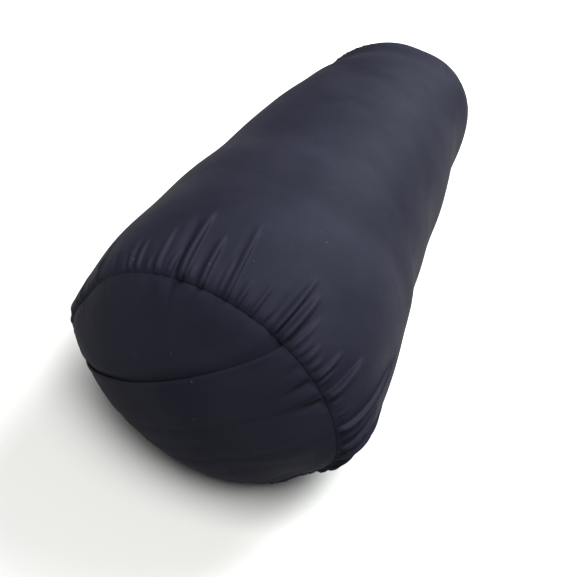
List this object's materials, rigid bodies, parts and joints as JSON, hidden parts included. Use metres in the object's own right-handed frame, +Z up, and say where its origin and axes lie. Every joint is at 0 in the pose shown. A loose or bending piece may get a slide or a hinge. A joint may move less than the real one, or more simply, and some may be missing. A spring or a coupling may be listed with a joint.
{
  "type": "bolster pillow",
  "caption": "Long round stuffed bolster pillow with a gathered removable cover and an envelope opening in one end.",
  "frame": {"origin": "on the ground under the middle of the pillow, which lies on its side", "axes": "+Y along the long axis, from the end with the envelope opening to the closed end; +Z up; +X across"},
  "size_m": [0.2302, 0.644, 0.202],
  "materials": {
    "cover_cloth": "smooth brushed microfibre, dark navy, soft sheen",
    "cover_thread": "spun polyester thread, dark navy",
    "lining_cloth": "plain unbleached cotton, matt",
    "lining_thread": "spun polyester thread, white",
    "fibre": "fluffy white polyester fibre"
  },
  "bodies": {
    "root": {"cover_body_panel": "cover_cloth", "cover_far_end_panel": "cover_cloth", "cover_outer_flap": "cover_cloth", "cover_inner_flap": "cover_cloth", "cover_near_seam_thread": "cover_thread", "cover_far_seam_thread": "cover_thread", "cover_length_seam_thread": "cover_thread", "cover_near_seam_overlock": "cover_thread", "cover_far_seam_overlock": "cover_thread", "cover_length_seam_overlock": "cover_thread", "outer_flap_hem_stitching": "cover_thread", "inner_flap_hem_stitching": "cover_thread", "insert_body_panel": "lining_cloth", "insert_near_end_panel": "lining_cloth", "insert_far_end_panel": "lining_cloth", "insert_near_seam_thread": "lining_thread", "insert_far_seam_thread": "lining_thread", "insert_length_seam_thread": "lining_thread", "insert_closing_thread": "lining_thread", "fibre_filling": "fibre"}
  },
  "joints": []
}
